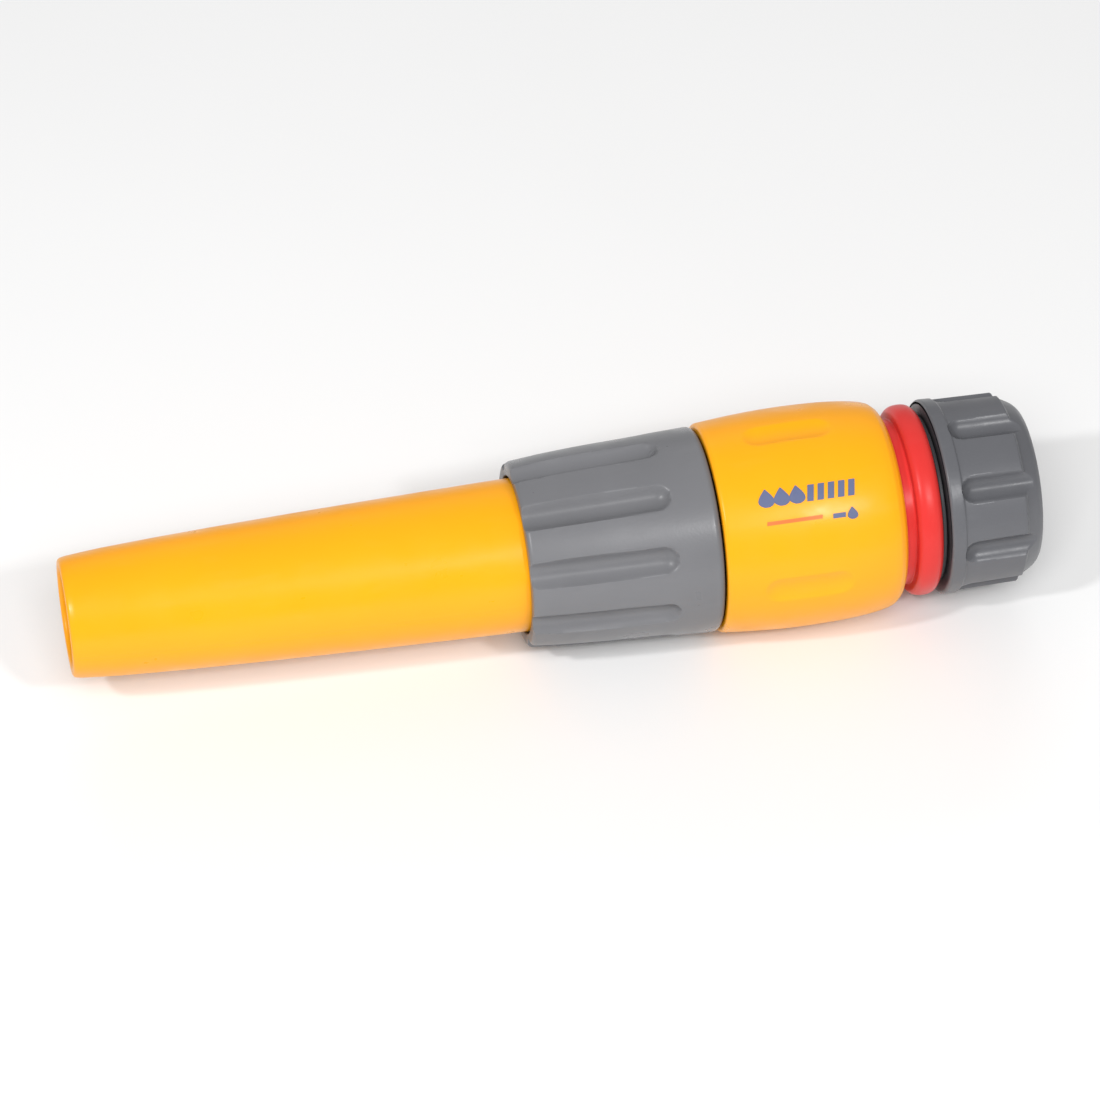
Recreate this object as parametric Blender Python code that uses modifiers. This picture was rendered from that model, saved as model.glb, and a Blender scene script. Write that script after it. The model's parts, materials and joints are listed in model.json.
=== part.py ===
"""Adjustable hose spray nozzle, snapped into its quick-release water-stop hose connector.

Every round piece is drawn about one axis. Heights are in millimetres along that axis, from the
hose end (0) to the spray tip (183). The tip points along -X and the hose end faces +X.
"""

import math

import bmesh
import bpy
from mathutils import Matrix, Vector

MM = 0.001

# Steps round the axis: outer shells, inner parts, seals and screw threads.
SHELL_STEPS = 30
NUT_STEPS = 36
CORE_STEPS = 24
SEAL_STEPS = 20
THREAD_STEPS = 20
SHARP_ANGLE = math.radians(35)

# Overall.
TIP_HEIGHT = 183.0
COLLAR_FRONT = 98.0
COLLAR_REAR = 62.1
SLEEVE_FRONT = 61.7
SLEEVE_REAR = 26.7
RING_FRONT = 24.6
RING_REAR = 19.9
NUT_FRONT = 18.6

# Barrel and its screw.
BARREL_RADIUS = 14.5
TIP_RADIUS = 11.35
BARREL_BORE = 10.0
SHUTOFF_BORE = 7.0
BARREL_LEAD = 5.0
BARREL_ROOT = 11.2
BARREL_CREST = 12.2
BARREL_SHORT = 11.6
BARREL_GROOVE = 12.65
BARREL_THREAD_START = 74.0

# Grip collar flutes.
FLUTE_COUNT = 10
FLUTE_PHASE = 11.5
FLUTE_BAR = 3.0
FLUTE_DEPTH = 1.7

# Hose nut, its grooves and its screw.
NUT_RADIUS = 18.6
NUT_GRIP_RADIUS = 18.2
NUT_GROOVES = 9
NUT_PHASE = -45.0
NUT_GROOVE_BAR = 2.6
NUT_GROOVE_DEPTH = 1.9
NUT_LEAD = 4.0
NUT_ROOT = 13.2
NUT_CREST = 14.0
NUT_BORE = 13.5
NUT_THREAD_GROOVE = 14.4
NUT_THREAD_START = 10.6

# Release sleeve, its thumb recesses and the jaws that it wedges.
SLEEVE_RADIUS = 20.95
RECESS_COUNT = 4
RECESS_PHASE = 4.0
RECESS_BAR = 7.8
RECESS_DEPTH = 0.65
JAW_COUNT = 4
JAW_PHASE = 45.0
JAW_WIDTH = 6.0
JAW_BOTTOM = 49.3
JAW_TOP = 52.1
JAW_INNER = 7.2
JAW_OUTER = 14.2
WEDGE_SLOPE = 0.75
WINDOW_GAP = 0.3

# Water way.
HOSE_BORE = 4.9
SPIGOT_RADIUS = 7.85
SPIGOT_BORE = 3.8

YELLOW = (0.95, 0.42, 0.008)
COLLAR_GREY = (0.17, 0.175, 0.19)
NUT_GREY = (0.11, 0.12, 0.135)
DARK_GREY = (0.06, 0.062, 0.068)
BLACK_RUBBER = (0.02, 0.02, 0.021)
RED = (0.75, 0.025, 0.02)
WHITE = (0.75, 0.75, 0.72)
STEEL = (0.6, 0.6, 0.62)
BRASS = (0.72, 0.5, 0.2)


def clear_scene():
    for thing in list(bpy.data.objects):
        bpy.data.objects.remove(thing, do_unlink=True)
    for mesh in list(bpy.data.meshes):
        bpy.data.meshes.remove(mesh)


def new_collection(name, hidden):
    group = bpy.data.collections.new(name)
    bpy.context.scene.collection.children.link(group)
    group.hide_render = hidden
    return group


def main_axis():
    """An empty whose local Z runs from the hose end to the spray tip."""
    axis = bpy.data.objects.new("main_axis", None)
    axis.rotation_euler = (0.0, -math.pi / 2, 0.0)
    PARTS.objects.link(axis)
    return axis


def plain_material(name, colour, roughness, metallic):
    material = bpy.data.materials.new(name)
    material.use_nodes = True
    shader = material.node_tree.nodes["Principled BSDF"]
    shader.inputs["Base Color"].default_value = (*colour, 1.0)
    shader.inputs["Roughness"].default_value = roughness
    shader.inputs["Metallic"].default_value = metallic
    material.diffuse_color = (*colour, 1.0)
    return material


def link_piece(name, data, colour, roughness=0.4, metallic=0.0):
    piece = bpy.data.objects.new(name, data)
    piece.parent = AXIS
    data.materials.append(plain_material(name, colour, roughness, metallic))
    PARTS.objects.link(piece)
    return piece


def link_cutter(name, data):
    cutter = bpy.data.objects.new(name, data)
    cutter.parent = AXIS
    cutter.hide_render = True
    cutter.display_type = "WIRE"
    CUTTERS.objects.link(cutter)
    return cutter


def profile_mesh(name, profile):
    """A wire of (height, radius) points. It is closed unless both ends lie on the axis."""
    points = [(radius * MM, 0.0, height * MM) for height, radius in profile]
    count = len(points)
    open_ends = profile[0][1] == 0 and profile[-1][1] == 0
    edges = [(i, i + 1) for i in range(count - 1)]
    if not open_ends:
        edges.append((count - 1, 0))
    mesh = bpy.data.meshes.new(name)
    mesh.from_pydata(points, edges, [])
    return mesh


def turned(name, profile, steps, colour, roughness=0.4, metallic=0.0):
    """A profile, drawn down its outer side and up its inner side, turned about the axis."""
    piece = link_piece(name, profile_mesh(name, profile), colour, roughness, metallic)
    screw = piece.modifiers.new("turn", "SCREW")
    screw.axis = "Z"
    screw.angle = 2 * math.pi
    screw.steps = steps
    screw.render_steps = steps
    screw.use_merge_vertices = True
    screw.merge_threshold = 0.00001
    return piece


def seal_ring(name, height, centre_radius, wire_radius, sides=6, colour=BLACK_RUBBER):
    """A rubber ring of round section."""
    turns = [2 * math.pi * i / sides for i in range(sides)]
    section = [
        (height + wire_radius * math.cos(t), centre_radius + wire_radius * math.sin(t)) for t in turns
    ]
    return turned(name, section, SEAL_STEPS, colour, roughness=0.6)


def boolean(piece, tool, operation):
    change = piece.modifiers.new(tool.name, "BOOLEAN")
    change.operation = operation
    change.solver = "EXACT"
    change.object = tool


def mesh_from(bm, name):
    bmesh.ops.recalc_face_normals(bm, faces=bm.faces)
    mesh = bpy.data.meshes.new(name)
    bm.to_mesh(mesh)
    bm.free()
    return mesh


def add_box(bm, angle, inner, outer, width, bottom, top):
    """A box whose length runs outward from the axis at an angle in degrees."""
    size = Vector((outer - inner, width, top - bottom)) * MM
    centre = Vector(((outer + inner) / 2, 0.0, (top + bottom) / 2)) * MM
    turn = Matrix.Rotation(math.radians(angle), 4, "Z")
    place = turn @ Matrix.Translation(centre) @ Matrix.Diagonal((*size, 1.0))
    bmesh.ops.create_cube(bm, size=1.0, matrix=place)


def boxes(name, count, phase, inner, outer, width, bottom, top):
    """Evenly spaced boxes round the axis, as one cutter."""
    bm = bmesh.new()
    for k in range(count):
        add_box(bm, phase + 360.0 * k / count, inner, outer, width, bottom, top)
    return link_cutter(name, mesh_from(bm, name))


def section_loop(bm, centre, across, outward, radius, sides):
    loop = []
    for i in range(sides):
        turn = 2 * math.pi * i / sides
        offset = across * math.cos(turn) + outward * math.sin(turn)
        loop.append(bm.verts.new(centre + offset * radius))
    return loop


def bridge(bm, first, second):
    count = len(first)
    for i in range(count):
        j = (i + 1) % count
        bm.faces.new((first[i], first[j], second[j], second[i]))


def close_with_point(bm, loop, point):
    tip = bm.verts.new(point)
    count = len(loop)
    for i in range(count):
        bm.faces.new((loop[i], loop[(i + 1) % count], tip))


def add_bar(bm, angle, closed, opened, bar, sides, both_round):
    """A round bar along the surface at an angle, domed at its closed end and flat or domed at the other.

    closed and opened are (height, radius) of the bar's centre line.
    """
    outward = Vector((math.cos(math.radians(angle)), math.sin(math.radians(angle)), 0.0))
    start = (outward * closed[1] + Vector((0, 0, closed[0]))) * MM
    end = (outward * opened[1] + Vector((0, 0, opened[0]))) * MM
    along = (end - start).normalized()
    across = along.cross(outward).normalized()
    lift = across.cross(along).normalized()
    radius = bar * MM
    dome = [(radius * math.cos(a), radius * math.sin(a)) for a in map(math.radians, (25, 55))]
    stations = [(start - along * reach, size) for reach, size in dome]
    stations += [(start, radius), (end, radius)]
    if both_round:
        stations += [(end + along * reach, size) for reach, size in reversed(dome)]
    loops = [section_loop(bm, place, across, lift, size, sides) for place, size in stations]
    for first, second in zip(loops, loops[1:]):
        bridge(bm, first, second)
    close_with_point(bm, loops[0], start - along * radius)
    if both_round:
        close_with_point(bm, loops[-1], end + along * radius)
    else:
        bm.faces.new(loops[-1])


def bars(name, count, phase, closed, opened, bar, depth, sides, both_round=False):
    """Evenly spaced bars that cut grooves of one depth. closed and opened lie on the surface."""
    lift = bar - depth
    raised_closed = (closed[0], closed[1] + lift)
    raised_opened = (opened[0], opened[1] + lift)
    bm = bmesh.new()
    for k in range(count):
        angle = phase + 360.0 * k / count
        add_bar(bm, angle, raised_closed, raised_opened, bar, sides, both_round)
    return link_cutter(name, mesh_from(bm, name))


def thread_bar(name, inner, outer, inner_width, outer_width, lead, bottom, top, early=0.0):
    """One start of a right-handed screw thread, as a closed bar of trapezium section.

    early is how many turns before its mating thread it begins.
    """
    count = round((top - bottom) / lead * THREAD_STEPS)
    bm = bmesh.new()
    loops = []
    for i in range(count + 1):
        turn = 2 * math.pi * (i / THREAD_STEPS - early)
        height = lead * i / THREAD_STEPS + bottom
        corners = (
            (inner, -inner_width / 2),
            (outer, -outer_width / 2),
            (outer, outer_width / 2),
            (inner, inner_width / 2),
        )
        loops.append([
            bm.verts.new(Vector((r * math.cos(turn), r * math.sin(turn), height + dz)) * MM)
            for r, dz in corners
        ])
    for first, second in zip(loops, loops[1:]):
        bridge(bm, first, second)
    bm.faces.new(loops[0])
    bm.faces.new(loops[-1])
    return link_cutter(name, mesh_from(bm, name))


def coil(name, radius, wire, bottom, top, turns, steps):
    """A round-wire compression spring."""
    count = turns * steps
    curve = bpy.data.curves.new(name, "CURVE")
    curve.dimensions = "3D"
    curve.bevel_depth = wire * MM
    curve.bevel_resolution = 2
    curve.use_fill_caps = True
    spline = curve.splines.new("POLY")
    spline.points.add(count)
    for i, point in enumerate(spline.points):
        turn = 2 * math.pi * i / steps
        height = bottom + wire + (top - bottom - 2 * wire) * i / count
        point.co = (radius * MM * math.cos(turn), radius * MM * math.sin(turn), height * MM, 1.0)
    return link_piece(name, curve, STEEL, roughness=0.25, metallic=1.0)


def hose_tail():
    """Barbed tail that the hose is pushed over, inside the threaded skirt that the nut screws on to."""
    profile = [
        (26.6, 14.6), (19.6, 14.6), (19.6, 15.9), (18.9, 15.9), (18.9, NUT_ROOT),
        (7.8, NUT_ROOT), (7.4, 12.8), (7.4, 12.0), (21.0, 12.0), (21.0, 8.6),
        (15.4, 8.6), (14.4, 6.4), (12.6, 6.4), (12.6, 6.95), (9.8, 6.35), (9.8, 6.95),
        (7.0, 6.35), (7.0, 6.95), (4.2, 6.35), (4.2, 6.95), (1.4, 6.1), (1.2, 5.8),
        (1.2, HOSE_BORE), (15.0, HOSE_BORE), (15.0, 6.6), (23.5, 6.6), (23.5, 12.2), (26.6, 12.2),
    ]
    piece = turned("hose_tail", profile, CORE_STEPS, DARK_GREY, roughness=0.45)
    thread = thread_bar(
        "skirt_thread", 12.6, NUT_CREST, 1.9, 0.9, NUT_LEAD, NUT_THREAD_START, NUT_THREAD_START + 6.0
    )
    boolean(piece, thread, "UNION")


def socket_body():
    """Socket that takes the nozzle's spigot, with the valve seat behind it and a window for each jaw."""
    profile = [
        (58.2, 12.6), (57.8, 13.0), (56.7, 13.0), (56.7, 12.0), (55.8, 12.0), (55.8, 13.0),
        (28.3, 13.0), (28.3, 15.6), (27.0, 15.6), (27.0, 11.9), (26.3, 11.9), (26.3, 10.5),
        (24.7, 10.5), (24.7, 11.9), (23.9, 11.9), (23.9, 6.9), (27.0, 6.9), (27.8, 4.8),
        (29.4, 4.8), (29.4, 8.2), (53.0, 8.2), (53.4, 9.6), (57.8, 9.6), (58.2, 9.9),
    ]
    piece = turned("socket_body", profile, CORE_STEPS, DARK_GREY, roughness=0.45)
    window = boxes(
        "jaw_windows", JAW_COUNT, JAW_PHASE, 7.0, 15.0, JAW_WIDTH + 2 * WINDOW_GAP,
        JAW_BOTTOM - WINDOW_GAP, JAW_TOP + WINDOW_GAP,
    )
    boolean(piece, window, "DIFFERENCE")


def colour_ring():
    """Red ring that marks the water-stop connector, held between the two halves of the body.

    Its front skirt runs in under the release sleeve.
    """
    profile = [
        (26.7, 15.65), (RING_FRONT, 15.65), (RING_FRONT, 17.1), (24.0, 17.8), (23.0, 18.15),
        (21.4, 18.15), (20.5, 17.8), (RING_REAR, 17.1), (RING_REAR, 14.9), (26.7, 14.9),
    ]
    turned("colour_ring", profile, SHELL_STEPS, RED, roughness=0.3)


def body_seal():
    seal_ring("body_seal", 25.5, 11.25, 0.6)


def valve_plunger():
    """Water-stop plunger: a disc behind the seat and a cross of fins that the spigot pushes back."""
    profile = [
        (33.0, 0.0), (33.0, 1.9), (24.9, 1.9), (24.9, 4.4), (24.2, 4.4), (24.2, 3.5),
        (22.3, 3.5), (22.3, 5.6), (20.5, 5.6), (20.5, 3.0), (18.6, 2.6), (18.6, 0.0),
    ]
    piece = turned("valve_plunger", profile, CORE_STEPS, WHITE, roughness=0.4)
    for turn in (0.0, 90.0):
        fin = boxes(f"plunger_fin_{turn:.0f}", 1, turn, -4.45, 4.45, 1.3, 24.5, 35.6)
        boolean(piece, fin, "UNION")


def valve_seal():
    seal_ring("valve_seal", 23.25, 4.65, 0.8)


def valve_spring():
    coil("valve_spring", 5.6, 0.4, 15.2, 20.2, turns=3, steps=10)


def sleeve_spring():
    coil("sleeve_spring", 14.4, 0.55, 28.7, 46.0, turns=4, steps=14)


def release_sleeve():
    """Yellow sleeve, pulled back to free the jaws, with a thumb recess on each quarter."""
    ramp = 14.9
    top_ramp = ramp + WEDGE_SLOPE * (53.5 - JAW_BOTTOM)
    profile = [
        (SLEEVE_FRONT, 19.5), (61.2, 19.95), (56.0, 20.45), (50.0, 20.85), (44.0, SLEEVE_RADIUS),
        (38.0, 20.8), (33.5, 20.45), (30.0, 19.9), (28.4, 19.35), (27.3, 18.4), (SLEEVE_REAR, 17.2),
        (SLEEVE_REAR, 15.95), (46.4, 15.95), (46.4, 13.35), (48.6, 13.35), (49.0, ramp - 0.2),
        (JAW_BOTTOM, ramp), (53.5, top_ramp), (SLEEVE_FRONT, top_ramp),
    ]
    piece = turned("release_sleeve", profile, SHELL_STEPS, YELLOW, roughness=0.3)
    recess = bars(
        "thumb_recesses", RECESS_COUNT, RECESS_PHASE, (41.0, 20.88), (51.6, 20.74),
        RECESS_BAR, RECESS_DEPTH, sides=24, both_round=True,
    )
    boolean(piece, recess, "DIFFERENCE")


def sleeve_guide_ring():
    """Snap ring in the socket's front groove that the sleeve slides over."""
    profile = [(56.5, 17.7), (56.0, 17.7), (56.0, 12.35), (56.5, 12.35)]
    turned("sleeve_guide_ring", profile, SHELL_STEPS, WHITE, roughness=0.4)


def locking_jaws():
    """Wedges that stand in the spigot's groove and back against the sleeve's ramp."""
    middle = (JAW_INNER + JAW_OUTER) / 2
    height = (JAW_BOTTOM + JAW_TOP) / 2
    half = JAW_WIDTH / 2
    rise = WEDGE_SLOPE * (JAW_TOP - JAW_BOTTOM)
    side = [
        (JAW_INNER, JAW_BOTTOM), (JAW_OUTER, JAW_BOTTOM), (JAW_OUTER + rise, JAW_TOP), (JAW_INNER, JAW_TOP),
    ]
    for k in range(JAW_COUNT):
        bm = bmesh.new()
        near = [bm.verts.new(Vector((r - middle, -half, z - height)) * MM) for r, z in side]
        far = [bm.verts.new(Vector((r - middle, half, z - height)) * MM) for r, z in side]
        bridge(bm, near, far)
        bm.faces.new(near)
        bm.faces.new(far)
        name = f"locking_jaw_{k + 1}"
        jaw = link_piece(name, mesh_from(bm, name), STEEL, roughness=0.3, metallic=1.0)
        angle = math.radians(JAW_PHASE + 360.0 * k / JAW_COUNT)
        jaw.rotation_euler = (0.0, 0.0, angle)
        jaw.location = Vector((middle * math.cos(angle), middle * math.sin(angle), height)) * MM


def hose_collet():
    """Slotted gripping ring that the nut closes round the hose."""
    profile = [(12.5, 11.2), (12.1, 11.5), (7.2, 11.5), (2.6, 9.9), (2.6, 8.2), (12.5, 8.2)]
    piece = turned("hose_collet", profile, CORE_STEPS, WHITE, roughness=0.45)
    slots = boxes("collet_slots", 8, 22.5, 7.0, 13.0, 1.4, 1.0, 9.5)
    boolean(piece, slots, "DIFFERENCE")


def hose_nut():
    """Union nut: smooth front band, grip grooves that run out at a rear chamfer, cone and thread."""
    profile = [
        (NUT_FRONT, 18.1), (18.2, NUT_RADIUS), (15.9, 18.5), (15.6, NUT_GRIP_RADIUS),
        (3.9, 18.0), (3.6, 17.2), (1.0, 15.7), (0.3, 15.0), (0.0, 14.5), (0.0, 8.9), (0.5, 8.6),
        (2.0, 8.6), (2.0, 10.2), (7.0, 12.0), (7.0, NUT_BORE), (18.1, NUT_BORE), (NUT_FRONT, 14.0),
    ]
    piece = turned("hose_nut", profile, NUT_STEPS, NUT_GREY, roughness=0.5)
    grooves = bars(
        "nut_grooves", NUT_GROOVES, NUT_PHASE, (13.5, NUT_GRIP_RADIUS), (-2.0, 17.9),
        NUT_GROOVE_BAR, NUT_GROOVE_DEPTH, sides=12,
    )
    boolean(piece, grooves, "DIFFERENCE")
    thread = thread_bar(
        "nut_thread", 12.9, NUT_THREAD_GROOVE, 2.9, 1.7, NUT_LEAD,
        NUT_THREAD_START - NUT_LEAD / 2, 21.6, early=0.5,
    )
    boolean(piece, thread, "DIFFERENCE")


def nozzle_core():
    """Core: spigot with its locking groove, threaded drum for the barrel and a hollow stem."""
    profile = [
        (138.0, 5.2), (137.6, 5.6), (112.9, 5.6), (112.5, 9.6), (100.9, 9.6), (100.5, 6.2),
        (71.0, 6.2), (71.0, 9.2), (97.0, 9.2), (97.0, 10.9), (96.7, BARREL_ROOT),
        (95.5, BARREL_ROOT), (95.5, 10.2), (94.3, 10.2), (94.3, BARREL_ROOT), (68.0, BARREL_ROOT),
        (68.0, 13.4), (65.3, 13.4), (65.3, 9.2), (61.5, 9.2), (61.5, 8.2), (60.3, 8.2), (60.3, 9.2),
        (53.8, 9.2), (52.7, 6.9), (48.7, 6.9), (48.7, SPIGOT_RADIUS), (42.7, SPIGOT_RADIUS),
        (42.7, 5.9), (40.1, 5.9), (40.1, SPIGOT_RADIUS), (36.7, SPIGOT_RADIUS), (36.0, 7.3),
        (36.0, SPIGOT_BORE), (138.0, SPIGOT_BORE),
    ]
    piece = turned("nozzle_core", profile, CORE_STEPS, DARK_GREY, roughness=0.4)
    thread = thread_bar(
        "drum_thread", 10.4, BARREL_CREST, 2.1, 1.0, BARREL_LEAD,
        BARREL_THREAD_START, BARREL_THREAD_START + BARREL_LEAD,
    )
    boolean(piece, thread, "UNION")
    bm = bmesh.new()
    for k in range(4):
        add_box(bm, 45.0 + 90.0 * k, 3.0, 7.0, 4.0, 117.0, 123.0)
    ports = link_cutter("stem_ports", mesh_from(bm, "stem_ports"))
    boolean(piece, ports, "DIFFERENCE")


def spigot_seal():
    seal_ring("spigot_seal", 41.4, 7.05, 0.9)


def collar_clip():
    """Open snap ring that holds the grip collar on the core."""
    profile = [(61.2, 11.6), (60.5, 11.6), (60.5, 8.45), (61.2, 8.45)]
    piece = turned("collar_clip", profile, CORE_STEPS, STEEL, roughness=0.3, metallic=1.0)
    gap = boxes("clip_gap", 1, 90.0, 7.0, 13.0, 3.0, 60.0, 62.0)
    boolean(piece, gap, "DIFFERENCE")


def grip_collar():
    """Fluted grey grip, fixed to the core. Its mouth clears the twisting barrel."""
    profile = [
        (COLLAR_FRONT, 17.1), (97.4, 17.6), (92.0, 18.15), (84.0, 18.65), (73.0, 19.05), (63.0, 19.45),
        (COLLAR_REAR, 19.0), (COLLAR_REAR, 9.5), (64.9, 9.5), (64.9, 16.5), (92.0, 15.3),
        (95.0, 14.95), (COLLAR_FRONT, 14.95),
    ]
    piece = turned("grip_collar", profile, SHELL_STEPS, COLLAR_GREY, roughness=0.45)
    flutes = bars(
        "collar_flutes", FLUTE_COUNT, FLUTE_PHASE, (73.0, 19.05), (102.0, 17.5),
        FLUTE_BAR, FLUTE_DEPTH, sides=12,
    )
    boolean(piece, flutes, "DIFFERENCE")


def barrel_stop_ring():
    """Snap ring on the drum that ends the barrel's travel."""
    profile = [(95.2, 12.05), (94.6, 12.05), (94.6, 10.45), (95.2, 10.45)]
    piece = turned("barrel_stop_ring", profile, CORE_STEPS, STEEL, roughness=0.3, metallic=1.0)
    gap = boxes("stop_ring_gap", 1, 90.0, 9.0, 13.0, 2.4, 94.0, 96.0)
    boolean(piece, gap, "DIFFERENCE")


def barrel_seal():
    seal_ring("barrel_seal", 103.2, 10.8, 1.0)


def barrel():
    """Tapered yellow barrel that screws forward along the core to open and shape the spray."""
    profile = [
        (TIP_HEIGHT, 10.7), (182.7, 11.1), (181.7, TIP_RADIUS), (176.0, 11.9), (165.0, 12.5),
        (150.0, 13.1), (130.0, 13.72), (COLLAR_FRONT, BARREL_RADIUS), (69.0, BARREL_RADIUS),
        (68.4, 14.1), (68.4, BARREL_SHORT), (86.0, BARREL_SHORT),
        (86.5, 12.4), (98.0, 12.4), (99.5, BARREL_BORE), (101.9, BARREL_BORE), (101.9, 12.1),
        (104.5, 12.1), (104.5, BARREL_BORE), (146.0, BARREL_BORE), (148.6, SHUTOFF_BORE),
        (162.0, SHUTOFF_BORE), (162.0, 8.75), (176.4, 8.75), (177.2, 9.2), (182.6, 9.4),
        (TIP_HEIGHT, 9.8),
    ]
    piece = turned("barrel", profile, SHELL_STEPS, YELLOW, roughness=0.3)
    thread = thread_bar(
        "barrel_thread", 10.9, BARREL_GROOVE, 3.3, 1.9, BARREL_LEAD,
        BARREL_THREAD_START - 1.5 * BARREL_LEAD, BARREL_THREAD_START + 1.25 * BARREL_LEAD, early=1.5,
    )
    boolean(piece, thread, "DIFFERENCE")


def jet_pin():
    """Solid pin plugged into the stem: shut-off head, seat for the spray disc and tapered jet needle."""
    profile = [
        (175.5, 0.0), (174.3, 1.5), (168.5, 2.2), (160.0, 2.5), (156.9, 2.5), (156.9, 6.2),
        (153.4, 6.6), (153.4, 4.8), (150.6, 4.8), (150.6, 6.6), (148.4, 6.4), (141.5, 5.4),
        (138.3, 5.4), (138.3, 3.5), (131.0, 3.5), (130.4, 2.9), (130.4, 0.0),
    ]
    turned("jet_pin", profile, CORE_STEPS, BRASS, roughness=0.25, metallic=1.0)


def shutoff_seal():
    seal_ring("shutoff_seal", 152.0, 5.9, 0.9)


def spray_disc():
    """Notched disc that breaks the water up before the orifice."""
    profile = [(159.6, 6.2), (159.3, 6.5), (157.2, 6.5), (157.2, 2.8), (159.6, 2.8)]
    piece = turned("spray_disc", profile, CORE_STEPS, WHITE, roughness=0.4)
    notches = boxes("disc_notches", 6, 15.0, 5.0, 8.0, 1.6, 156.5, 160.5)
    boolean(piece, notches, "DIFFERENCE")


def orifice_insert():
    """Nozzle insert pressed into the barrel's mouth: converging cone, throat and spray bell."""
    profile = [
        (177.0, 8.0), (176.6, 8.4), (162.3, 8.4), (162.3, 6.8), (164.0, 6.6), (169.0, 3.4),
        (173.0, 3.4), (177.0, 6.6),
    ]
    turned("orifice_insert", profile, CORE_STEPS, COLLAR_GREY, roughness=0.35)


def settle(piece, graph):
    """Keeps the finished shape as one plain mesh with smooth faces and sharp edges."""
    shape = bpy.data.meshes.new_from_object(piece.evaluated_get(graph), depsgraph=graph)
    shape.name = piece.name
    bm = bmesh.new()
    bm.from_mesh(shape)
    bmesh.ops.remove_doubles(bm, verts=bm.verts, dist=0.000002)
    bmesh.ops.dissolve_degenerate(bm, edges=bm.edges, dist=0.000002)
    bm.to_mesh(shape)
    bm.free()
    shape.shade_smooth()
    shape.set_sharp_from_angle(angle=SHARP_ANGLE)
    return shape


def settle_all():
    bpy.context.view_layer.update()
    graph = bpy.context.evaluated_depsgraph_get()
    pieces = [p for p in PARTS.objects if p.type in ("MESH", "CURVE")]
    shapes = [settle(p, graph) for p in pieces]
    for piece, shape in zip(pieces, shapes):
        if piece.type == "MESH":
            piece.modifiers.clear()
            piece.data = shape
            continue
        name = piece.name
        bpy.data.objects.remove(piece, do_unlink=True)
        mesh_piece = bpy.data.objects.new(name, shape)
        mesh_piece.parent = AXIS
        PARTS.objects.link(mesh_piece)


clear_scene()
PARTS = new_collection("hose_spray_nozzle", hidden=False)
CUTTERS = new_collection("cutters", hidden=True)
AXIS = main_axis()

hose_tail()
socket_body()
colour_ring()
body_seal()
valve_plunger()
valve_seal()
valve_spring()
sleeve_spring()
release_sleeve()
sleeve_guide_ring()
locking_jaws()
hose_collet()
hose_nut()
nozzle_core()
spigot_seal()
collar_clip()
grip_collar()
barrel_stop_ring()
barrel_seal()
barrel()
jet_pin()
shutoff_seal()
spray_disc()
orifice_insert()
settle_all()
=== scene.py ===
"""Looks of the hose spray nozzle and its quick connector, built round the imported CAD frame.

Profiles are (height, radius) in millimetres about the common axis. Height runs from the hose end
(0) to the spray tip, along -X. An angle of 0 points up (+Z) and 90 points along +Y.
"""

import json
import math

import bpy
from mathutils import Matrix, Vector


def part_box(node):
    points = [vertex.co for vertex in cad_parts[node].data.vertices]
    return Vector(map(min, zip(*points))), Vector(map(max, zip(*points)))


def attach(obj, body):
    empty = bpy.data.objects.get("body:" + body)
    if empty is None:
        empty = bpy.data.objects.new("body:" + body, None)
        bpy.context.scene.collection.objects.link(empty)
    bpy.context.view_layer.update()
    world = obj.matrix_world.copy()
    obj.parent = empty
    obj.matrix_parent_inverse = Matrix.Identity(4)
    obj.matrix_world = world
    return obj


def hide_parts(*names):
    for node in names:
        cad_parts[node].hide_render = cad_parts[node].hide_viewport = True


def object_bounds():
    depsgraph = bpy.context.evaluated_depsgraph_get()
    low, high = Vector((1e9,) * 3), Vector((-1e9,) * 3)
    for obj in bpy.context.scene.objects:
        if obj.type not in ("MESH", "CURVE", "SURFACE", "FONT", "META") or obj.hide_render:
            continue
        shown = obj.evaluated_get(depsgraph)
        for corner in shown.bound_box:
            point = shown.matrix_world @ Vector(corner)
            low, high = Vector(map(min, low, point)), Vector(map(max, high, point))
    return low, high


MM = 0.001
SHARP = math.radians(40)
# Softness of the edges of moulded grooves, in millimetres.
EASE = 0.13

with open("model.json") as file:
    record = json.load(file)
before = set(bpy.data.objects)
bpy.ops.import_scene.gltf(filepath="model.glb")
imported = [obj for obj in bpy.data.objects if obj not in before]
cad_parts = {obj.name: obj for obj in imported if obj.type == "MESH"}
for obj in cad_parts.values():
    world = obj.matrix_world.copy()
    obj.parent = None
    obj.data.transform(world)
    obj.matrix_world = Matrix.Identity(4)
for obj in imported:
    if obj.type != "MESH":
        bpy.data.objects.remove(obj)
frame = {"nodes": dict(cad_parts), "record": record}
CAD_LOW, CAD_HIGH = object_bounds()
CENTRE = (CAD_LOW + CAD_HIGH) / 2


# ---------------------------------------------------------------- places from the CAD frame
def heights(node):
    """(lowest height, highest height, outer radius) of a CAD node, in millimetres."""
    low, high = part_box(node)
    radius = max(abs(low.z), abs(high.z), abs(low.y), abs(high.y))
    return -high.x / MM, -low.x / MM, radius / MM


def fitted(profile, node):
    """The profile, moved and stretched so that its ends and its outer radius are the CAD node's."""
    bottom, top, radius = heights(node)
    hs = [p[0] for p in profile]
    rs = [p[1] for p in profile]
    stretch = (top - bottom) / (max(hs) - min(hs))
    widen = radius / max(rs)
    if abs(widen - 1.0) > 0.02:
        widen = 1.0
    return [(bottom + (p[0] - min(hs)) * stretch, p[1] * widen, *p[2:]) for p in profile]


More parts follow.
